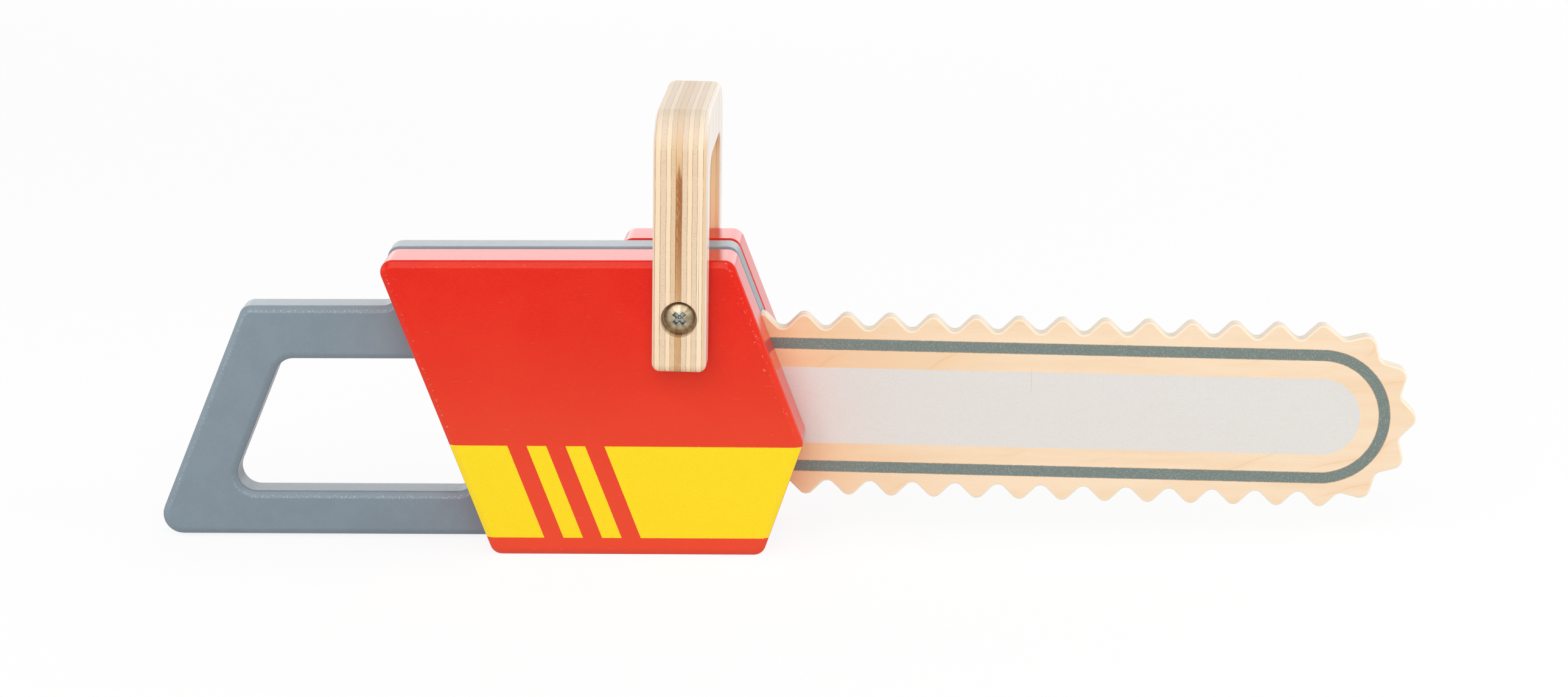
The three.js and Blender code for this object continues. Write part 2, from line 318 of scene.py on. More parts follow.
def millimetres(tree, pivot=(0, 0, 0), turn=0.0):
    # Object coordinates in mm from a point, turned about Y with the piece
    place = addNode(tree, "ShaderNodeTexCoord")
    scaled = addNode(tree, "ShaderNodeMapping")
    angle = -math.radians(turn)
    scaled.inputs["Location"].default_value = -(Matrix.Rotation(angle, 3, "Y") @ Vector(pivot))
    scaled.inputs["Rotation"].default_value = (0, angle, 0)
    scaled.inputs["Scale"].default_value = (1 / mm,) * 3
    tree.links.new(place.outputs["Object"], scaled.inputs["Vector"])
    return scaled.outputs[0]


def split(tree, vector):
    node = addNode(tree, "ShaderNodeSeparateXYZ")
    tree.links.new(vector, node.inputs[0])
    return list(node.outputs)


def upwardness(tree):
    # how far the surface of the piece at rest looks up
    return split(tree, addNode(tree, "ShaderNodeTexCoord").outputs["Normal"])[2]


def shade(red, green, blue):
    # colour as a paint card shows it, 0 to 255
    def linear(value):
        value /= 255
        return value / 12.92 if value <= 0.04045 else ((value + 0.055) / 1.055) ** 2.4
    return (linear(red), linear(green), linear(blue), 1.0)


# Painted boards

bodyBoards = {
    "top": 98.3,
    "topRight": 114.8,
    "noseX": 136.893,
    "noseZ": 37.6,
    "footRight": 123.208,
    "footLeft": 35.778,
    "lean": 20.0,
    "corner": 4.0,
    "cornerSteps": 10,
    "rim": 2.0,
    "rimDrop": 1.2,
    "rimSoft": 0.5,
    "rimSteps": 3,
    "rimAngle": 20,
    "front": (-24.0, -6.0),
    "core": (-6.0, 6.0),
    "rear": (6.0, 24.0),
    "rearAxis": 96.25,
    "frontDrop": 0.5,
    "coreFoot": 1.0,
}

paintLook = {
    "red": shade(230, 14, 4),
    "redWarm": shade(233, 28, 8),
    "redLow": shade(236, 76, 48),
    "yellow": shade(254, 220, 0),
    "yellowPale": shade(255, 228, 44),
    "scuffAndGlint": shade(252, 196, 182),
    "glossTint": (1.0, 0.72, 0.58, 1.0),
    "specular": 0.32,
    "roughness": 0.14,
    "roughSpread": 0.12,
    "cloud": dict(scale=0.6, detail=4.0, roughness=0.65),
    "mottle": dict(scale=0.05, detail=4.0, roughness=0.6, levels=(0.3, 0.7)),
    # painted reflection of the pale floor: the red turns paler towards the bottom
    "floorSheenByHeight": (8.0, 95.0, 0.88, 0.07),  # heights, then amounts
    "fine": dict(along=(0.5, 1.0, 1.4), scale=1.8, roughness=0.7, levels=(0.4, 0.65), amounts=(0.0, 0.14)),
    "bandFoot": 5.95,
    "bandTop": 36.48,
    "bandTilt": 0.0036,
    "bandSoft": 0.08,
    "bandRear": -22.7,
    "bandRearSoft": 0.2,
    "stripeStart": 41.44,
    "stripeWidth": 6.27,
    "stripePitch": 12.57,
    "stripeCount": 3,
    "stripeLean": 0.364,
    "wander": dict(scale=1.4, detail=2.0),
    "wanderSpread": 0.12,
    "inkGrain": dict(scale=3.4, roughness=0.7, levels=(0.35, 0.65)),
    "rub": dict(
        along=(0.35, 1.0, 1.0), scale=0.8, detail=5.0, roughness=0.7, levels=(0.66, 0.74), amounts=(0.0, 0.30)),
    "rubHeights": (86.0, 97.0),
    "chip": dict(scale=0.7, roughness=0.6, levels=(0.66, 0.70), amounts=(0.0, 0.5)),
    "chipReach": (1.2, 3.6, 1.6),  # from and to, inward of the right edge, and softness
    "scratch": dict(along=(0.16, 1.0, 2.4), scale=1.3, detail=2.0, levels=(0.735, 0.755), amounts=(0.0, 0.14)),
    "rimLine": (0.4, 0.03, 0.06),  # from and to, below the face, and softness
    "dots": dict(scale=1.2, roughness=0.6, levels=(0.60, 0.68)),
    "dotsByTilt": (0.1, 0.3, 0.4, 0.08),
    "peel": dict(scale=0.7, detail=2.0),
    "peelBump": (0.02, 0.20),
    "dust": dict(scale=2.6, detail=2.0),
    "dustBump": (0.02, 0.05),
}


def onRimLine(tree, y, face, line):
    # where the slanted rims meet the faces
    start, end, soft = line
    return between(tree, calc(tree, "ABSOLUTE", y), face - start, face - end, soft)


def paintSkin(tree, place, look):
    peel = bump(tree, noise(tree, place, **look["peel"]), *look["peelBump"])
    return bump(tree, noise(tree, place, **look["dust"]), *look["dustBump"], peel)


def printBand(tree, place, colour):
    # a yellow band, with slanted stripes left out of it
    look = paintLook
    x, y, z = split(tree, place)
    soft = look["bandSoft"]
    wander = around(tree, noise(tree, place, **look["wander"]), 0.0, look["wanderSpread"])
    level = calc(tree, "ADD", z, wander)
    tilted = calc(tree, "MULTIPLY_ADD", x, look["bandTilt"], level)
    band = product(
        tree, rises(tree, level, look["bandFoot"], soft), falls(tree, tilted, look["bandTop"], soft),
        falls(tree, y, look["bandRear"], look["bandRearSoft"]))
    drop = calc(tree, "MULTIPLY_ADD", z, look["stripeLean"], -look["stripeLean"] * look["bandTop"])
    across = calc(tree, "ADD", calc(tree, "ADD", x, drop), wander)
    fromFirst = calc(tree, "SUBTRACT", across, fromBody(look["stripeStart"]))
    steps = calc(tree, "DIVIDE", fromFirst, look["stripePitch"])
    run = calc(tree, "MULTIPLY", calc(tree, "FRACT", steps), look["stripePitch"])
    stripe = product(
        tree, between(tree, run, soft / 2, look["stripeWidth"], soft),
        calc(tree, "GREATER_THAN", steps, 0.0), calc(tree, "LESS_THAN", steps, float(look["stripeCount"])))
    inked = product(tree, band, calc(tree, "SUBTRACT", 1.0, stripe))
    ink = mixColour(tree, noise(tree, place, **look["inkGrain"]), look["yellow"], look["yellowPale"])
    return mixColour(tree, inked, colour, ink)


def wearAndRimGlints(tree, place, colour):
    # rubs under the top rim, fine scratches, chips inside the right rim and pale spots along the rims; the
    # spots are partly worn paint and partly painted glints
    look, size = paintLook, bodyBoards
    x, y, z = split(tree, place)
    rub = product(tree, noise(tree, place, **look["rub"]), smooth(tree, z, *look["rubHeights"]))
    scratch = noise(tree, place, **look["scratch"])
    aboveNose = calc(tree, "SUBTRACT", z, size["noseZ"])
    upright = calc(tree, "MULTIPLY_ADD", aboveNose, slopeOf(size["lean"]), x)
    inward = calc(tree, "SUBTRACT", fromBody(size["noseX"]), upright)
    chip = product(tree, noise(tree, place, **look["chip"]), between(tree, inward, *look["chipReach"]))
    # pale spots on the rims: partly worn paint, partly painted glints
    spots = product(
        tree, onRimLine(tree, y, size["rear"][1], look["rimLine"]), noise(tree, place, **look["dots"]),
        smooth(tree, calc(tree, "ABSOLUTE", upwardness(tree)), *look["dotsByTilt"]))
    return mixColour(tree, strongest(tree, rub, scratch, chip, spots), colour, look["scuffAndGlint"])


def makeRedPaint(name, striped):
    look = paintLook
    material, tree, shader = startMaterial(
        name, Specular_IOR_Level=look["specular"], Specular_Tint=look["glossTint"])
    place = millimetres(tree)
    height = split(tree, place)[2]
    colour = mixColour(tree, noise(tree, place, **look["mottle"]), look["red"], look["redWarm"])
    # paler towards the bottom: painted reflection of the pale floor
    colour = mixColour(tree, smooth(tree, height, *look["floorSheenByHeight"]), colour, look["redLow"])
    colour = mixColour(tree, noise(tree, place, **look["fine"]), colour, look["redLow"])
    if striped:
        colour = printBand(tree, place, colour)
    colour = wearAndRimGlints(tree, place, colour)
    rough = around(tree, noise(tree, place, **look["cloud"]), look["roughness"], look["roughSpread"])
    feedShader(tree, shader, colour, rough, paintSkin(tree, place, look))
    return material


def easeRims(piece, sides=(-1, 1)):
    # low slanted rims, as a cutter leaves them, with softened edges
    size = bodyBoards
    editFaces(piece)
    for side in sides:
        selectWhere(piece, "FACE", lambda face: face.normal.y * side > facesAlong)
        bpy.ops.mesh.inset(thickness=size["rim"] * mm, depth=size["rimDrop"] * mm)
    roundRims(piece, size["rimSoft"], size["rimSteps"], size["rimAngle"])


def shortOfRims(depths, sides=(-1, 1)):
    drop = bodyBoards["rimDrop"]
    return depths[0] + drop * (-1 in sides), depths[1] - drop * (1 in sides)


def frontBoardCorners():
    size = bodyBoards
    top = size["top"] - size["frontDrop"]
    shift = size["frontDrop"] * slopeOf(size["lean"])
    places = (
        (shift, top), (size["footLeft"], 0.0), (size["footRight"], 0.0),
        (size["noseX"], size["noseZ"]), (size["topRight"] + shift, top))
    return [(fromBody(x), z, size["corner"]) for x, z in places]


def rearBoardCorners():
    size = bodyBoards
    right = ((size["footRight"], 0.0), (size["noseX"], size["noseZ"]), (size["topRight"], size["top"]))
    left = [(2 * size["rearAxis"] - x, z) for x, z in reversed(right)]
    return [(fromBody(x), z, size["corner"]) for x, z in (*left, *right)]


def makeBoard(name, corners, depths, sides, material, node):
    piece = cutBoard(name, corners, "front", *shortOfRims(depths, sides), bodyBoards["cornerSteps"])
    easeRims(piece, sides)
    finishPiece(piece, "saw", "red_paint", material, node)


# Middle board with the rear grip

gripSize = {
    "topLeft": -46.3,
    "top": 78.5,
    "bar": 17.8,
    "foot": 14.8,
    "lean": 23.0,
    "heel": 6.5,
    "shoulder": 4.0,
    "inside": 6.2,
    "root": 5.5,
    "pocketGap": 0.3,
    "pocketCorner": 0.6,
    "pocketSteps": 2,
}

greyLook = {
    "grey": shade(127, 142, 152),
    "greyPale": shade(130, 146, 156),
    # pale grey for the specks, also used for the painted light on the top faces
    "rub": shade(168, 180, 188),
    "rimSpeckAndGlint": shade(206, 216, 220),
    "specular": 0.45,
    "roughness": 0.36,
    "roughSpread": 0.14,
    "cloud": dict(scale=0.7),
    "mottle": dict(scale=0.12, detail=5.0, roughness=0.65, levels=(0.35, 0.65)),
    "speck": dict(scale=2.6, detail=2.0, levels=(0.60, 0.72), amounts=(0.0, 0.20)),
    "rimLine": (0.4, 0.03, 0.06),
    "glint": dict(scale=1.7, roughness=0.6, levels=(0.5, 0.66)),
    "glintByTilt": (0.02, 0.25, 0.12, 0.45),
    "topLightTilt": (0.6, 0.95),
    "topLightFrom": (45.0, 60.0),
    "topLightHeights": (62.0, 92.0, 0.5, 0.8),
    "peel": dict(scale=1.4, detail=2.0),
    "peelBump": (0.18, 0.18),
    "dust": dict(scale=3.2, detail=2.0),
    "dustBump": (0.16, 0.06),
}


def makeGreyPaint():
    look = greyLook
    material, tree, shader = startMaterial("greySatinPaint", Specular_IOR_Level=look["specular"])
    place = millimetres(tree)
    y, z = split(tree, place)[1:]
    tilt = upwardness(tree)
    colour = mixColour(tree, noise(tree, place, **look["mottle"]), look["grey"], look["greyPale"])
    colour = mixColour(tree, noise(tree, place, **look["speck"]), colour, look["rub"])
    # small bright spots along the rims, partly worn paint and partly painted glints where the rims face up
    spots = product(
        tree, onRimLine(tree, y, bodyBoards["core"][1], look["rimLine"]), noise(tree, place, **look["glint"]),
        smooth(tree, tilt, *look["glintByTilt"]))
    colour = mixColour(tree, spots, colour, look["rimSpeckAndGlint"])
    # upward faces high on the board are paler: painted light on the top faces
    paintedTopLight = product(
        tree, smooth(tree, tilt, *look["topLightTilt"]), smooth(tree, z, *look["topLightHeights"]),
        smooth(tree, z, *look["topLightFrom"]))
    colour = mixColour(tree, paintedTopLight, colour, look["rub"])
    rough = around(tree, noise(tree, place, **look["cloud"]), look["roughness"], look["roughSpread"])
    feedShader(tree, shader, colour, rough, paintSkin(tree, place, look))
    return material


def bladePocket(fromAlong, halfHeight):
    places = ((fromAlong, halfHeight), (fromAlong, -halfHeight), (0, -halfHeight), (0, halfHeight))
    corners = [(*onBlade(along, across), gripSize["pocketCorner"]) for along, across in places]
    front, rear = bladeSize["depths"]
    return cutBoard("pocket", corners, "front", front - cutPast, rear, gripSize["pocketSteps"])


def makeCore(material):
    size, grip = bodyBoards, gripSize
    foot = size["coreFoot"]
    bodySlope, gripSlope = slopeOf(size["lean"]), slopeOf(grip["lean"])

    def leftAt(z):
        return (size["top"] - z) * bodySlope

    def innerAt(z):
        bar = grip["bar"] / math.cos(math.radians(grip["lean"]))
        return grip["topLeft"] + bar - (grip["top"] - z) * gripSlope

    heelX = grip["topLeft"] - (grip["top"] - foot) * gripSlope
    footRight = size["noseX"] - (size["noseZ"] - foot) * bodySlope
    outline = [
        (0.0, size["top"], size["corner"]),
        (leftAt(grip["top"]), grip["top"], grip["root"]),
        (grip["topLeft"], grip["top"], grip["shoulder"]),
        (heelX, foot, grip["heel"]),
        (footRight, foot, size["corner"]),
        (size["noseX"], size["noseZ"], size["corner"]),
        (size["topRight"], size["top"], size["corner"]),
    ]
    core = cutBoard(
        "core", [(fromBody(x), z, r) for x, z, r in outline], "front",
        *shortOfRims(size["core"]), size["cornerSteps"])
    high = grip["top"] - grip["bar"]
    low = foot + grip["foot"]
    opening = [
        (innerAt(high), high, grip["inside"]), (innerAt(low), low, grip["inside"]),
        (leftAt(low), low, grip["root"]), (leftAt(high), high, grip["root"])]
    cutOut(core, cutBoard(
        "opening", [(fromBody(x), z, r) for x, z, r in opening], "front",
        size["core"][0] - cutPast, size["core"][1] + cutPast, size["cornerSteps"]))
    easeRims(core)
    # room for the blade's tongue and for its first teeth
    toothEnd, valley = bladeRoot()
    gap = grip["pocketGap"]
    cutOut(core, bladePocket(toothEnd - bladeSize["tongue"] - gap, valley + gap))
    cutOut(core, bladePocket(toothEnd - gap, bladeSize["tip"] + gap))
    finishPiece(core, "saw", "grey_paint", material, "core_board")


# Blade with rounded teeth

bladeSize = {
    "noseX": 303.293,
    "noseZ": 42.4,
    "droop": 1.22,
    "pitch": 13.9,
    "round": 2.7,
    "tip": 30.2,
    "upperShift": -0.5,
    "lowerShift": 0.8,
    "noseRound": 3.4,
    "noseRise": 0.73,
    "noseValleyRise": 1.9,
    "rows": 13,
    "noseTeeth": 6,
    "tongue": 70.0,
    "tongueCorner": 1.4,
    "rim": 0.7,
    "rimSteps": 3,
    "rimAngle": 50,
    "depths": (-6.0, 0.0),
    "toothSteps": 8,
}

bladeLook = {
    "birch": shade(252, 226, 194),
    "birchDark": shade(244, 208, 166),
    "fibreTone": shade(232, 190, 146),
    "flameTone": shade(238, 184, 126),
    "rootShadeTone": shade(230, 172, 98),
    "plyPale": shade(252, 242, 226),
    "plyDark": shade(242, 228, 206),
    "glue": shade(198, 162, 120),
    "rimHighlightTone": shade(255, 243, 220),
    "scratchTone": shade(204, 160, 128),
    "silver": shade(229, 227, 224),
    "silverDark": shade(213, 210, 207),
    "stripe": shade(108, 124, 121),
    "stripePale": shade(168, 180, 174),
    "haloTone": shade(120, 92, 66),
    "specular": 0.45,
    "roughness": 0.42,
    "roughSpread": 0.18,
    "edgeRoughness": 0.55,
    "fieldGloss": -0.06,
    "grain": dict(
        along=(0.012, 0.3, 0.16), detail=5.0, roughness=0.58, distortion=0.4,
        levels=(0.36, 0.68), amounts=(0.0, 0.55)),
    "fibre": dict(along=(0.22, 1.0, 3.4), detail=4.0, roughness=0.7),
    "fibreOnBirch": (0.52, 0.76, 0.0, 0.30),
    "fibreOnSilver": (0.5, 0.7, 0.0, 0.25),
    "flameSlant": -2.3,
    "flameWave": 6.2,
    "flameRipple": dict(along=(0.5, 1.0, 1.0), scale=0.035, detail=2.0),
    "flameRippleReach": 90.0,
    "flameLine": (0.97, 1.0),
    "flameGlow": (0.2, 1.0, 0.0, 0.25),
    "flamePatches": dict(scale=0.045, detail=2.0, levels=(0.42, 0.62), amounts=(0.0, 0.34)),
    "rootX": 123.2,
    "rootReach": 75.0,
    "rootShadeAmount": 0.42,
    "layers": 5,
    "seamLine": (0.44, 0.5, 0.0, 0.25),
    "pores": dict(scale=2.4, levels=(0.5, 0.75), amounts=(0.0, 0.18)),
    "flatFrom": (2.2, 2.45),  # distances from the blade's middle layer, as the next two
    "rimLine": (2.5, 2.98, 0.06),
    "printFrom": (2.72, 2.8),
    "rimHighlightAmount": 0.65,
    "wander": dict(scale=1.1, detail=2.0),
    "wanderSpread": 0.24,
    "grit": dict(scale=2.7, roughness=0.75),
    "gritOnSilver": (0.5, 0.75),
    "gritOnStripe": (0.52, 0.7),
    "field": 12.68,
    "stripeFrom": 18.76,
    "stripeTo": 22.22,
    "printSoft": 0.2,
    "fieldAmount": 0.93,
    "stripeAmount": 0.94,
    "halo": 0.18,
    "haloSoft": 0.15,
    "haloAmount": 0.6,
    "scratchAlong": (-92.9, -92.78, 0.12),
    "scratchAcross": (6.0, 13.6, 0.8),
    "scratchFront": (-5.8, -5.7, 1.0, 0.0),
    "scratchBend": dict(scale=0.25, detail=2.0),
    "scratchBendReach": 1.2,
    "scratchAmount": 0.55,
    "pitsBump": (0.22, 0.08),
    "pitsOnEdges": 0.3,
    "gritBump": (0.10, 0.05),
}


def alongBlade(tree, x, z):
    # distances from the nose along the drooping blade and across it
    droop = math.radians(bladeSize["droop"])
    fromNose = calc(tree, "SUBTRACT", x, fromBody(bladeSize["noseX"]))
    height = calc(tree, "SUBTRACT", z, bladeSize["noseZ"])
    along = product(tree, fromNose, math.cos(droop))
    along = calc(tree, "SUBTRACT", along, product(tree, height, math.sin(droop)))
    across = product(tree, fromNose, math.sin(droop))
    across = calc(tree, "ADD", across, product(tree, height, math.cos(droop)))
    return along, across


def birchVeneer(tree, place, x, along, across, fibre):
    # long grain, fine pores and a few slanted flame lines, and painted shade: browner towards the body
    look = bladeLook
    veneer = mixColour(tree, noise(tree, place, **look["grain"]), look["birch"], look["birchDark"])
    veneer = mixColour(tree, smooth(tree, fibre, *look["fibreOnBirch"]), veneer, look["fibreTone"])
    slant = calc(tree, "MULTIPLY_ADD", across, look["flameSlant"], along)
    ripple = noise(tree, place, **look["flameRipple"])
    ripple = calc(tree, "MULTIPLY_ADD", ripple, look["flameRippleReach"], slant)
    crest = calc(tree, "SINE", calc(tree, "DIVIDE", ripple, look["flameWave"]))
    flame = strongest(tree, smooth(tree, crest, *look["flameLine"]), smooth(tree, crest, *look["flameGlow"]))
    flame = product(tree, flame, noise(tree, place, **look["flamePatches"]))
    veneer = mixColour(tree, flame, veneer, look["flameTone"])
    # painted shade cast by the body: browner near the blade's root
    rootFrom = fromBody(look["rootX"])
    paintedRootShade = smooth(tree, x, rootFrom, rootFrom + look["rootReach"], look["rootShadeAmount"], 0.0)
    return mixColour(tree, paintedRootShade, veneer, look["rootShadeTone"])


def bladeLayers(tree, place, y):
    look = bladeLook
    front, rear = bladeSize["depths"]
    depth = calc(tree, "DIVIDE", calc(tree, "SUBTRACT", y, front), (rear - front) / look["layers"])
    cross = calc(tree, "COMPARE", calc(tree, "MODULO", calc(tree, "FLOOR", depth), 2.0), 1.0, 0.5)
    seam = calc(tree, "PINGPONG", calc(tree, "ADD", depth, 0.5), 0.5)
    edge = mixColour(tree, cross, look["plyPale"], look["plyDark"])
    edge = mixColour(tree, product(tree, noise(tree, place, **look["pores"]), cross), edge, look["glue"])
    return mixColour(tree, smooth(tree, seam, *look["seamLine"]), edge, look["glue"])


def makePrintedBirch():
    look = bladeLook
    material, tree, shader = startMaterial("printedBirch", Specular_IOR_Level=look["specular"])
    place = millimetres(tree)
    x, y, z = split(tree, place)
    along, across = alongBlade(tree, x, z)
    fibre = noise(tree, place, **look["fibre"])
    grit = noise(tree, place, **look["grit"])

    # veneer on the faces, layers on the edges and a pale line along the rims, which is a painted highlight
    fromMiddle = calc(tree, "ABSOLUTE", calc(tree, "SUBTRACT", y, sum(bladeSize["depths"]) / 2))
    flat = smooth(tree, fromMiddle, *look["flatFrom"])
    veneer = birchVeneer(tree, place, x, along, across, fibre)
    colour = mixColour(tree, flat, bladeLayers(tree, place, y), veneer)
    # painted highlight along the rounded rims
    rimLine = product(tree, between(tree, fromMiddle, *look["rimLine"]), look["rimHighlightAmount"])
    colour = mixColour(tree, rimLine, colour, look["rimHighlightTone"])

    # prints: a pale silver field along the middle and one grey stripe round it
    pastNose = calc(tree, "MAXIMUM", along, 0.0)
    squares = calc(tree, "ADD", product(tree, pastNose, pastNose), product(tree, across, across))
    wander = around(tree, noise(tree, place, **look["wander"]), 0.0, look["wanderSpread"])
    reach = calc(tree, "ADD", calc(tree, "SQRT", squares), wander)
    printed = smooth(tree, fromMiddle, *look["printFrom"])
    field = product(tree, falls(tree, reach, look["field"], look["printSoft"]), printed)
    silver = mixColour(tree, smooth(tree, grit, *look["gritOnSilver"]), look["silver"], look["silverDark"])
    silver = mixColour(tree, smooth(tree, fibre, *look["fibreOnSilver"]), silver, look["silverDark"])
    colour = mixColour(tree, product(tree, field, look["fieldAmount"]), colour, silver)
    haloFrom, haloTo = look["stripeFrom"] - look["halo"], look["stripeTo"] + look["halo"]
    halo = product(tree, between(tree, reach, haloFrom, haloTo, look["haloSoft"]), printed, look["haloAmount"])
    colour = mixColour(tree, halo, colour, look["haloTone"])
    stripe = between(tree, reach, look["stripeFrom"], look["stripeTo"], look["printSoft"])
    ink = mixColour(tree, smooth(tree, grit, *look["gritOnStripe"]), look["stripe"], look["stripePale"])
    colour = mixColour(tree, product(tree, stripe, printed, look["stripeAmount"]), colour, ink)

    # one hairline scratch on the silver field
    bent = calc(
        tree, "MULTIPLY_ADD", noise(tree, place, **look["scratchBend"]), look["scratchBendReach"], along)
    hair = product(
        tree, between(tree, bent, *look["scratchAlong"]), between(tree, across, *look["scratchAcross"]),
        smooth(tree, y, *look["scratchFront"]), look["scratchAmount"])
    colour = mixColour(tree, hair, colour, look["scratchTone"])

    onEdge = calc(tree, "SUBTRACT", 1.0, flat)
    rough = around(tree, fibre, look["roughness"], look["roughSpread"])
    rough = calc(tree, "MULTIPLY_ADD", onEdge, look["edgeRoughness"] - look["roughness"], rough)
    rough = calc(tree, "MULTIPLY_ADD", field, look["fieldGloss"], rough)
    pitted = calc(tree, "MULTIPLY_ADD", flat, 1.0 - look["pitsOnEdges"], look["pitsOnEdges"])
    pits = bump(tree, product(tree, fibre, pitted), *look["pitsBump"])
    feedShader(tree, shader, colour, rough, bump(tree, product(tree, grit, flat), *look["gritBump"], pits))
    return material


def toothLevels():
    # across the blade: the sharp tip and valley before rounding, and the rounded valley
    size = bladeSize
    rounding = size["round"] * (math.sqrt(2) - 1)
    sharpTip = size["tip"] + rounding
    sharpValley = sharpTip - size["pitch"] / 2
    return sharpTip, sharpValley, sharpValley + rounding


def toothRun():
    sharpTip, sharpValley, valley = toothLevels()
    return -bladeSize["rows"] * bladeSize["pitch"] - (sharpTip - valley)


def bladeRoot():
    # where the longer row of teeth ends, and half the tongue's height
    return toothRun() + min(bladeSize["upperShift"], bladeSize["lowerShift"]), toothLevels()[2]


def onBlade(along, across):
    turn = math.radians(-bladeSize["droop"])
    x = bladeSize["noseX"] + along * math.cos(turn) - across * math.sin(turn)
    z = bladeSize["noseZ"] + along * math.sin(turn) + across * math.cos(turn)
    return fromBody(x), z


def makeBlade(material):
    size = bladeSize
    upper, lower, pitch = size["upperShift"], size["lowerShift"], size["pitch"]
    sharpTip, sharpValley, valley = toothLevels()
    tongueEnd = bladeRoot()[0] - size["tongue"]
    corners = []

    def place(along, across, radius=size["round"]):
        corners.append((*onBlade(along, across), radius))

    def placeRound(reach, angle, radius):
        place(reach * math.cos(angle), reach * math.sin(angle), radius)

    place(tongueEnd, valley, size["tongueCorner"])
    place(tongueEnd, -valley, size["tongueCorner"])
    place(lower + toothRun(), -valley, size["rim"])
    for i in range(size["rows"], 0, -1):
        place(lower - i * pitch, -sharpTip)
        place(lower - (i - 0.5) * pitch, -sharpValley)
    place(lower, -sharpTip)
    step = math.pi / size["noseTeeth"]
    for i in range(size["noseTeeth"]):
        placeRound(sharpValley + size["noseValleyRise"], (i + 0.5) * step - math.pi / 2, size["round"])
        if i < size["noseTeeth"] - 1:
            placeRound(sharpTip + size["noseRise"], (i + 1) * step - math.pi / 2, size["noseRound"])
    place(upper, sharpTip)
    for i in range(1, size["rows"] + 1):
        place(upper - (i - 0.5) * pitch, sharpValley)
        place(upper - i * pitch, sharpTip)
    place(upper + toothRun(), valley, size["rim"])
    blade = cutBoard("blade", corners, "front", *size["depths"], size["toothSteps"])
    roundRims(blade, size["rim"], size["rimSteps"], size["rimAngle"])
    finishPiece(blade, "saw", "birch_blade", material, "saw_blade")


# Swinging bow handle

bowSize = {
    "x": 98.5,
    "pivotZ": 81.8,
    "lean": 1.5,
    "top": 147.2,
    "foot": 64.3,
    "outer": 36.8,
    "leg": 11.3,
    "bridge": 15.8,
    "thickness": 17.3,
    "outerCorner": 14.0,
    "innerCorner": 8.0,
    "footCorner": 3.0,
    "bendSteps": 12,
    "rim": 2.5,
    "rimSteps": 6,
    "rimAngle": 50,
    "innerRim": 0.5,
    "innerRimSteps": 2,
    "innerRimAngle": 60,
    "bore": 5.2,
    "counterbore": 11.4,
    "counterboreDepth": 5.2,
}

bowLook = {
    "seams": (0.87, 2.6, 4.37, 5.86, 7.4, 9.32, 11.05, 12.54, 14.18, 15.86),
    "layers": (
        "skin", "long", "cross", "long", "warm", "core", "cross", "long", "cross", "longPale", "skin"),
    "crossed": (2, 4, 6, 8),  # layers that show end grain
    "skin": shade(236, 204, 166),
    # pale tone over the bridge, a painted sheen
    "bridge": shade(250, 241, 232),
    "long": shade(250, 224, 188),
    "longPale": shade(252, 229, 197),
    "cross": shade(236, 210, 178),
    "warm": shade(231, 200, 160),
    # warm tone for the painted shade on the inner faces
    "inside": shade(255, 218, 154),
    "core": shade(226, 184, 132),
    "heart": shade(166, 102, 48),
    "heartPale": shade(232, 196, 152),
    "pore": shade(178, 146, 112),
    "glue": shade(140, 96, 60),
    "veneer": shade(249, 236, 222),
    "veneerDark": shade(235, 213, 191),
    "specular": 0.4,
    "roughness": 0.5,
    "roughSpread": 0.2,
    "faceRoughness": 0.22,
    "wave": dict(along=(0.0, 1.0, 1.0), scale=0.06),
    "waveSpread": 0.36,
    "heartSeams": (4, 5),
    "heartSoft": 0.1,
    "heartTop": 51.5,  # heights here and below are from the pivot
    "heartPoint": 4.0,
    "heartTip": 4.0,
    "heartHeights": (-2.0, 34.0, 0.35, 1.0),
    "heartSlant": 2.2,
    "heartStreak": dict(along=(1.6, 0.12, 0.0), detail=2.0),
    "heartFibre": dict(scale=0.35, detail=5.0, roughness=0.65),
    "heartLevels": (0.62, 1.0),
    "heartPaleSoft": 4.0,
    "heartPaleAmount": 0.75,
    "dots": dict(scale=1.9, roughness=0.65, levels=(0.52, 0.74), amounts=(0.0, 0.30)),
    "rungs": dict(along=(0.7, 3.4, 3.4), detail=2.0, roughness=0.6, levels=(0.5, 0.7), amounts=(0.0, 0.30)),
    "fibre": dict(along=(2.6, 0.22, 0.22), detail=5.0, roughness=0.7),
    "fibreMarks": (0.5, 0.76, 0.0, 0.35),
    "bridgeHeights": (54.0, 63.0),
    "bridgeSheenAmounts": (0.3, 0.75),  # over the layers, then over the right skin
    "bridgeSoft": 0.6,
    "glueHalf": 0.08,
    "glueSoft": 0.14,
    "glueBreaks": dict(along=(0.0, 1.0, 1.0), scale=0.22, levels=(0.3, 0.6), amounts=(0.25, 0.75)),
    "glueFade": -0.4,
    "insideShadeReach": (0.1, 0.4),
    "insideShadeAmount": 0.5,
    "insideShadeTop": (50.0, 52.0),
    "faceDepth": (0.35, 0.6),
    "figure": dict(along=(1.0, 0.7, 0.03), detail=6.0, roughness=0.6, distortion=0.5, levels=(0.4, 0.68)),
    "sawn": dict(along=(0.6, 2.2, 2.2), roughness=0.6),
    "sawnBump": (0.20, 0.10),
    "faceSanding": -0.8,
    "glueBump": (-0.25, 0.08),
}


def counterboreFloor():
    return bowSize["outer"] - bowSize["counterboreDepth"]


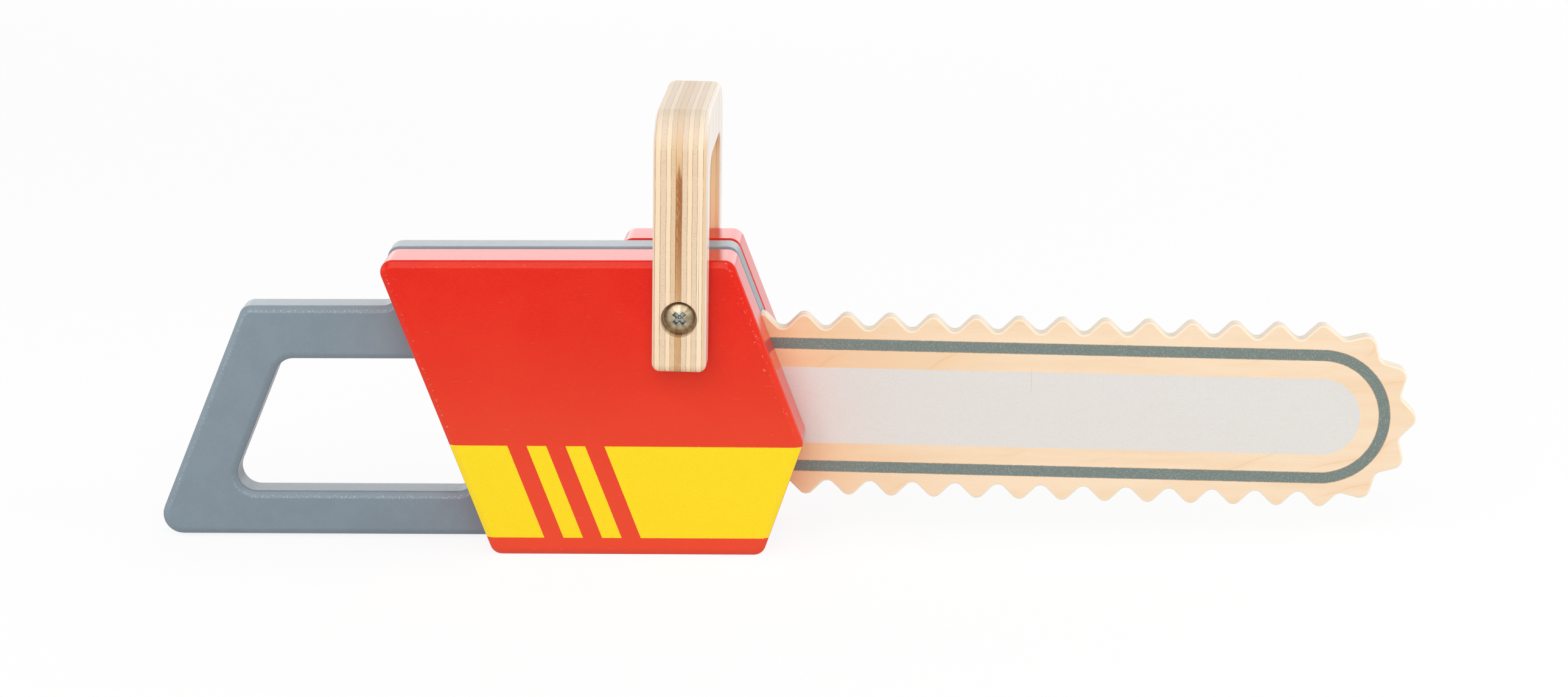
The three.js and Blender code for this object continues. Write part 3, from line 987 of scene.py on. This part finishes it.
def brownHeart(tree, place, z, depth, layer):
    # it fills the middle layer and starts in a point below the bend, its fibres slanting
    look = bowLook
    left, right = (look["seams"][i] for i in look["heartSeams"])
    sideways = calc(tree, "SUBTRACT", depth, (left + right) / 2)
    slanting = calc(tree, "MULTIPLY_ADD", sideways, look["heartSlant"], z)
    streak = noise(tree, place, **look["heartStreak"])
    streak = calc(tree, "ADD", streak, noise(tree, slanting, **look["heartFibre"]))
    inLayer = between(tree, depth, left, right, look["heartSoft"])
    point = calc(tree, "MULTIPLY_ADD", calc(tree, "ABSOLUTE", sideways), look["heartPoint"], z)
    top = look["heartTop"]
    heart = product(
        tree, inLayer, smooth(tree, point, top - look["heartTip"], top, 1.0, 0.0),
        smooth(tree, z, *look["heartHeights"]), smooth(tree, streak, *look["heartLevels"]))
    layer = mixColour(tree, heart, layer, look["heart"])
    above = product(tree, inLayer, rises(tree, z, top, look["heartPaleSoft"]), look["heartPaleAmount"])
    return mixColour(tree, above, layer, look["heartPale"])


def makeBowPlywood():
    look, size = bowLook, bowSize
    material, tree, shader = startMaterial("bowPlywood", Specular_IOR_Level=look["specular"])
    place = millimetres(tree, (fromBody(size["x"]), 0.0, size["pivotZ"]), size["lean"])
    x, y, z = split(tree, place)
    width = size["thickness"]
    wave = around(tree, noise(tree, place, **look["wave"]), 0.0, look["waveSpread"])
    depth = calc(tree, "ADD", calc(tree, "SUBTRACT", x, -width / 2), wave)
    share = calc(tree, "DIVIDE", depth, width)
    starts = [seam / width for seam in (0.0, *look["seams"])]
    layer = ramp(tree, share, list(zip(starts, [look[name] for name in look["layers"]])))
    layer = brownHeart(tree, place, z, depth, layer)

    # end grain rungs and dots in the cross layers, long fibres in the others
    flags = [(float(i in look["crossed"]),) * 3 + (1.0,) for i in range(len(starts))]
    crossed = ramp(tree, share, list(zip(starts, flags)))
    marks = strongest(tree, noise(tree, place, **look["dots"]), noise(tree, place, **look["rungs"]))
    layer = mixColour(tree, product(tree, marks, crossed), layer, look["pore"])
    fibre = noise(tree, place, **look["fibre"])
    layer = mixColour(tree, smooth(tree, fibre, *look["fibreMarks"]), layer, look["veneerDark"])

    # paler and plainer over the bridge: painted sheen on its top faces
    onTop = smooth(tree, z, *look["bridgeHeights"])
    lastSeam, soft = look["seams"][-1], look["bridgeSoft"]
    paler = smooth(tree, depth, lastSeam - soft / 2, lastSeam + soft / 2, *look["bridgeSheenAmounts"])
    layer = mixColour(tree, product(tree, onTop, paler), layer, look["bridge"])

    # thin glue lines
    half = look["glueHalf"]
    glue = strongest(tree, *(
        between(tree, depth, seam - half, seam + half, look["glueSoft"]) for seam in look["seams"]))
    faded = calc(tree, "MULTIPLY_ADD", onTop, look["glueFade"], 1.0)
    glued = product(tree, glue, noise(tree, place, **look["glueBreaks"]), faded)
    layer = mixColour(tree, glued, layer, look["glue"])

    # the inner faces are warmer and more saturated: painted shade inside the bow
    innerFace = size["outer"] - size["leg"]
    reach = [innerFace + past for past in look["insideShadeReach"]]
    inside = product(
        tree, smooth(tree, calc(tree, "ABSOLUTE", y), *reach, look["insideShadeAmount"], 0.0),
        smooth(tree, z, *look["insideShadeTop"], 1.0, 0.0))
    layer = mixColour(tree, inside, layer, look["inside"])

    # face veneer on both sides
    inward = calc(tree, "SUBTRACT", width / 2, calc(tree, "ABSOLUTE", x))
    face = smooth(tree, inward, *look["faceDepth"], 1.0, 0.0)
    veneer = mixColour(tree, noise(tree, place, **look["figure"]), look["veneer"], look["veneerDark"])
    colour = mixColour(tree, face, layer, veneer)

    rough = around(tree, fibre, look["roughness"], look["roughSpread"])
    rough = calc(tree, "MULTIPLY_ADD", face, look["faceRoughness"] - look["roughness"], rough)
    sanded = calc(tree, "MULTIPLY_ADD", face, look["faceSanding"], 1.0)
    sawn = bump(tree, product(tree, noise(tree, place, **look["sawn"]), sanded), *look["sawnBump"])
    feedShader(tree, shader, colour, rough, bump(tree, glue, *look["glueBump"], sawn))
    return material


def makeBow(material):
    size = bowSize
    outer = size["outer"]
    inner = outer - size["leg"]
    under = size["top"] - size["bridge"]
    below = size["foot"] - 2 * size["footCorner"]
    plate = [
        (-outer, size["top"], size["outerCorner"]), (-outer, size["foot"], size["footCorner"]),
        (outer, size["foot"], size["footCorner"]), (outer, size["top"], size["outerCorner"])]
    opening = [
        (-inner, under, size["innerCorner"]), (-inner, below, size["footCorner"]),
        (inner, below, size["footCorner"]), (inner, under, size["innerCorner"])]
    middle = fromBody(size["x"])
    left, right = middle - size["thickness"] / 2, middle + size["thickness"] / 2
    bow = cutBoard("bow", plate, "side", left, right, size["bendSteps"])
    roundRims(bow, size["rim"], size["rimSteps"], size["rimAngle"])
    cutOut(bow, cutBoard("opening", opening, "side", left - cutPast, right + cutPast, size["bendSteps"]))
    # lean about the pivot
    pivot = Vector((middle, 0, size["pivotZ"])) * mm
    turn = Matrix.Rotation(math.radians(size["lean"]), 3, "Y")
    bow.rotation_euler = turn.to_euler()
    bow.location = pivot - turn @ pivot
    pickOnly(bow)
    applyPlace()
    for side in (-1, 1):
        for diameter, start in ((size["bore"], inner - cutPast), (size["counterbore"], counterboreFloor())):
            ends = sorted((side * start, side * (outer + cutPast)))
            cutOut(bow, rodAlongY("bore", diameter, *ends, middle, size["pivotZ"]))
    roundRims(bow, size["innerRim"], size["innerRimSteps"], size["innerRimAngle"])
    finishPiece(bow, "handle", "birch_ply", material, "front_handle")


# Pivot screws and washers

screwSize = {
    "head": 9.7,
    "skirt": 2.5,
    "height": 3.6,
    "domeAngles": (58.0, 88.0),
    "domeSteps": 9,
    "shank": 5.0,
    "length": 24.0,
    "point": 5.0,
    "pointTaper": 0.08,
    "recess": 5.9,
    "recessWidth": 1.7,
    "recessDepth": 2.1,
    "recessTaper": 0.62,
    "recessTurns": (-45.0, 45.0),
    "hub": (1.9, 0.45),
    "hubDepth": 2.3,
    "hubSides": 24,
    "edge": 0.12,
    "edgeSteps": 2,
    "edgeAngle": 50,
}

zincLook = {
    # the zinc colours are darker and browner than bare plating: painted reflection of darker surroundings
    "zinc": (0.47, 0.41, 0.29, 1.0),
    "zincWarm": (0.29, 0.22, 0.14, 1.0),
    # dark grey for the painted shade in the cross recess
    "recess": (0.31, 0.34, 0.33, 1.0),
    "recessReach": 2.7,
    "recessFrom": 0.8,  # from and to, out from the screw's seat
    "recessTo": 3.15,
    "recessSoft": 0.1,
    "roughness": 0.30,
    "roughSpread": 0.16,
    "hollow": 0.2,
    "rays": dict(along=(1.0, 0.02, 1.0), scale=2.6, roughness=0.55),
    "raysShare": 0.7,
    "cloud": dict(scale=0.35, detail=4.0, roughness=0.6),
    "cloudShare": 0.3,
    "warmLevels": (0.38, 0.62),
    "scuffs": dict(scale=1.6, detail=4.0, roughness=0.7),
    "grit": dict(scale=3.0, detail=2.0),
    "gritBump": (0.10, 0.03),
}


def makeZinc():
    look = zincLook
    material, tree, shader = startMaterial("zincPlate", Metallic=1.0)
    place = millimetres(tree, (fromBody(bowSize["x"]), 0.0, bowSize["pivotZ"]))
    x, y, z = split(tree, place)
    # turned rays round the axis, a painted reflection, and darker in the cross recess, a painted shade
    reach = calc(tree, "SQRT", calc(tree, "ADD", product(tree, x, x), product(tree, z, z)))
    ray = addNode(tree, "ShaderNodeCombineXYZ")
    for socket, part in zip(ray.inputs, (x, y, z)):
        feed(tree, socket, calc(tree, "DIVIDE", part, calc(tree, "MAXIMUM", reach, look["hollow"])))
    rays = product(tree, noise(tree, ray.outputs[0], **look["rays"]), look["raysShare"])
    warm = calc(tree, "MULTIPLY_ADD", noise(tree, place, **look["cloud"]), look["cloudShare"], rays)
    colour = mixColour(tree, smooth(tree, warm, *look["warmLevels"]), look["zinc"], look["zincWarm"])
    recessShade = between(
        tree, calc(tree, "ABSOLUTE", y), counterboreFloor() + look["recessFrom"],
        counterboreFloor() + look["recessTo"], look["recessSoft"])
    recessShade = product(tree, recessShade, calc(tree, "LESS_THAN", reach, look["recessReach"]))
    colour = mixColour(tree, recessShade, colour, look["recess"])
    rough = around(tree, noise(tree, place, **look["scuffs"]), look["roughness"], look["roughSpread"])
    feedShader(tree, shader, colour, rough, bump(tree, noise(tree, place, **look["grit"]), *look["gritBump"]))
    return material


def extrudeAlongY(distance):
    bpy.ops.mesh.extrude_region_move(TRANSFORM_OT_translate={"value": (0, distance * mm, 0)})


def makeScrew():
    # head of the front screw looks towards -Y; its seat is the floor of the counterbore
    size = screwSize
    x, seat, z = fromBody(bowSize["x"]), -counterboreFloor(), bowSize["pivotZ"]
    middle = Vector((x, seat, z)) * mm
    crown = Vector((x, seat - size["height"], z)) * mm
    screw = rodAlongY("frontPivotScrew", size["head"], seat - size["skirt"], seat, x, z)
    applyPlace()
    editFaces(screw)
    # dome, ring by ring
    selectWhere(screw, "FACE", lambda face: face.normal.y < -facesAlong)
    first, last = (math.radians(angle) for angle in size["domeAngles"])
    angles = [first + i / size["domeSteps"] * (last - first) for i in range(size["domeSteps"] + 1)]
    tall = (size["height"] - size["skirt"]) / (math.sin(last) - math.sin(first))
    for below, above in zip(angles, angles[1:]):
        extrudeAlongY(-tall * (math.sin(above) - math.sin(below)))
        ring = math.cos(above) / math.cos(below)
        bpy.ops.transform.resize(value=(ring, 1, ring), center_override=middle)
    # shank and point
    selectWhere(screw, "FACE", lambda face: face.normal.y > facesAlong)
    bpy.ops.mesh.inset(thickness=(size["head"] - size["shank"]) / 2 * mm)
    extrudeAlongY(size["length"] - size["point"])
    extrudeAlongY(size["point"])
    bpy.ops.transform.resize(value=(size["pointTaper"], 1, size["pointTaper"]), center_override=middle)
    turnFacesOut()
    # cross recess, tapering inwards
    for turn in size["recessTurns"]:
        clearSelection()
        bpy.ops.mesh.primitive_cube_add(size=1)
        slot = bpy.context.object
        slot.scale = Vector((size["recess"], 2 * size["recessDepth"], size["recessWidth"])) * mm
        slot.rotation_euler = (0, math.radians(turn), 0)
        slot.location = crown
        applyPlace()
        editFaces(slot)
        selectWhere(slot, "FACE", lambda face: face.normal.y > facesAlong)
        bpy.ops.transform.resize(value=(size["recessTaper"], 1, size["recessTaper"]), center_override=middle)
        cutOut(screw, slot)
    clearSelection()
    wide, narrow = size["hub"]
    bpy.ops.mesh.primitive_cone_add(
        vertices=size["hubSides"], radius1=wide * mm, radius2=narrow * mm, depth=2 * size["hubDepth"] * mm,
        location=crown, rotation=(-math.pi / 2, 0, 0))
    cutOut(screw, bpy.context.object)
    roundRims(screw, size["edge"], size["edgeSteps"], size["edgeAngle"])
    return screw


def copyScrew(screw):
    pickOnly(screw)
    bpy.ops.object.duplicate(linked=False)
    twin = bpy.context.object
    twin.name = "rearPivotScrew"
    twin.data.name = "rearPivotScrew"
    bpy.ops.object.mode_set(mode="EDIT")
    bpy.ops.mesh.select_all(action="SELECT")
    pivot = Vector((fromBody(bowSize["x"]), 0, bowSize["pivotZ"])) * mm
    bpy.ops.transform.rotate(value=math.pi, orient_axis="Z", center_override=pivot)
    bpy.ops.object.mode_set(mode="OBJECT")
    return twin


# Dowels

beechLook = {
    "pale": shade(222, 184, 134),
    "dark": shade(190, 144, 96),
    "fleckTone": shade(150, 102, 62),
    "specular": 0.4,
    "roughness": 0.6,
    "roughSpread": 0.2,
    "grain": dict(along=(1.0, 0.08, 1.0), scale=0.9, detail=5.0, roughness=0.6, distortion=0.4),
    "grainLevels": (0.35, 0.66),
    "grainBump": (0.2, 0.1),
    "fleck": dict(along=(2.0, 0.5, 2.0), scale=1.2, detail=2.0, levels=(0.62, 0.7), amounts=(0.0, 0.5)),
}


def makeBeech():
    look = beechLook
    material, tree, shader = startMaterial("beechDowel", Specular_IOR_Level=look["specular"])
    place = millimetres(tree)
    grain = noise(tree, place, **look["grain"])
    colour = mixColour(tree, smooth(tree, grain, *look["grainLevels"]), look["pale"], look["dark"])
    colour = mixColour(tree, noise(tree, place, **look["fleck"]), colour, look["fleckTone"])
    rough = around(tree, grain, look["roughness"], look["roughSpread"])
    feedShader(tree, shader, colour, rough, bump(tree, grain, *look["grainBump"]))
    return material


# Making the pieces

stripedPaint = makeRedPaint("stripedRedPaint", True)
plainPaint = makeRedPaint("plainRedPaint", False)
greyPaint = makeGreyPaint()
printedBirch = makePrintedBirch()
bowPlywood = makeBowPlywood()
zincPlate = makeZinc()
beechWood = makeBeech()
print("finishes done: 7")

makeBoard("frontBoard", frontBoardCorners(), bodyBoards["front"], (-1,), stripedPaint, "front_panel")
makeBoard("rearBoard", rearBoardCorners(), bodyBoards["rear"], (-1, 1), plainPaint, "rear_panel")
makeCore(greyPaint)
makeBlade(printedBirch)
makeBow(bowPlywood)
frontScrew = makeScrew()
rearScrew = copyScrew(frontScrew)
finishPiece(frontScrew, "saw", "steel", zincPlate, "front_pivot_screw")
finishPiece(rearScrew, "saw", "steel", zincPlate, "rear_pivot_screw")

# CAD nodes that stay: washers and dowels
keptFinishes = {"washer": zincPlate, "dowel": beechWood}
for name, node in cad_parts.items():
    for word, material in keptFinishes.items():
        if word in name:
            node.data.materials.clear()
            node.data.materials.append(material)
print("kept nodes dressed")


# Studio, in metres

studio = {
    "aim": (0.00192, -0.024, 0.06936),
    "distance": 1.2621,
    "azimuth": 3.03,
    "elevation": 14.286,
    "roll": -0.611,
    "lens": 90.84,
    "sensor": 36.0,
    "clipStart": 0.01,
    "floorWidth": 12.0,
    "floorGlow": 0.87,
    "floorTone": 0.15,
    "floorBounce": 0.78,
    "skyLight": 0.40,
    "lampAim": (0, 0, 0.06),
    "lamps": {
        "keyLamp": dict(power=16.8, width=1.8, height=1.6, place=(-0.2, -1.5, 0.9)),
        "sideLamp": dict(power=4.0, width=1.0, height=1.0, place=(-1.4, -0.2, 0.5)),
        "fillLamp": dict(power=6.9, width=1.0, height=1.0, place=(1.3, -0.2, 0.6)),
        "backLamp": dict(power=8.4, width=3.2, height=0.8, place=(0.3, 1.6, 0.48)),
    },
}


def makeCamera():
    look = studio
    azimuth, elevation, roll = (math.radians(look[k]) for k in ("azimuth", "elevation", "roll"))
    turn = (
        Matrix.Rotation(azimuth, 4, "Z") @ Matrix.Rotation(math.pi / 2 - elevation, 4, "X")
        @ Matrix.Rotation(roll, 4, "Z"))
    backwards = turn.to_3x3() @ Vector((0, 0, 1))
    bpy.ops.object.camera_add()
    camera = bpy.context.object
    camera.matrix_world = Matrix.Translation(Vector(look["aim"]) + backwards * look["distance"]) @ turn
    camera.data.lens = look["lens"]
    camera.data.sensor_width = look["sensor"]
    camera.data.sensor_fit = "HORIZONTAL"
    camera.data.clip_start = look["clipStart"]
    bpy.context.scene.camera = camera


def grey(level):
    return (level, level, level, 1.0)


def plainShader(tree, kind, **values):
    node = addNode(tree, kind)
    for key, value in values.items():
        node.inputs[key].default_value = value
    return node.outputs[0]


def joinNodes(tree, kind, *sources):
    node = addNode(tree, kind)
    for socket, source in zip(node.inputs, sources):
        tree.links.new(source, socket)
    return node


def seenOrLighting(tree, outputKind, seen, lighting):
    # one shader for what is seen, also in reflections, and another for the light it gives
    path = addNode(tree, "ShaderNodeLightPath").outputs
    seenDirectly = strongest(
        tree, path["Is Camera Ray"], path["Is Glossy Ray"], path["Is Transmission Ray"])
    choice = joinNodes(tree, "ShaderNodeMixShader", seenDirectly, lighting, seen)
    joinNodes(tree, outputKind, choice.outputs[0])


def makeFloor():
    look = studio
    clearSelection()
    bpy.ops.mesh.primitive_plane_add(size=look["floorWidth"])
    floor = bpy.context.object
    floor.name = "studioFloor"
    material = bpy.data.materials.new("paleFloor")
    material.use_nodes = True
    tree = material.node_tree
    tree.nodes.clear()
    glow = plainShader(tree, "ShaderNodeEmission", Strength=look["floorGlow"])
    tone = plainShader(tree, "ShaderNodeBsdfDiffuse", Color=grey(look["floorTone"]))
    bounce = plainShader(tree, "ShaderNodeBsdfDiffuse", Color=grey(look["floorBounce"]))
    both = joinNodes(tree, "ShaderNodeAddShader", glow, tone)
    seenOrLighting(tree, "ShaderNodeOutputMaterial", both.outputs[0], bounce)
    floor.data.materials.append(material)


def makeWorld():
    world = bpy.data.worlds.new("studioWorld")
    bpy.context.scene.world = world
    world.use_nodes = True
    tree = world.node_tree
    tree.nodes.clear()
    light = plainShader(tree, "ShaderNodeBackground", Color=grey(1.0), Strength=studio["skyLight"])
    white = plainShader(tree, "ShaderNodeBackground", Color=grey(1.0), Strength=1.0)
    seenOrLighting(tree, "ShaderNodeOutputWorld", white, light)


def makeLamp(name, power, width, height, place):
    bpy.ops.object.light_add(type="AREA", location=place)
    lamp = bpy.context.object
    lamp.name = name
    lamp.data.energy = power
    lamp.data.shape = "RECTANGLE"
    lamp.data.size = width
    lamp.data.size_y = height
    backwards = Vector(place) - Vector(studio["lampAim"])
    lamp.rotation_euler = backwards.to_track_quat("Z", "Y").to_euler()
    lamp.visible_camera = False


makeCamera()
makeFloor()
makeWorld()
for lampName, lampSettings in studio["lamps"].items():
    makeLamp(lampName, **lampSettings)
bpy.context.scene.view_settings.view_transform = "Standard"
print("studio done")

clearSelection()
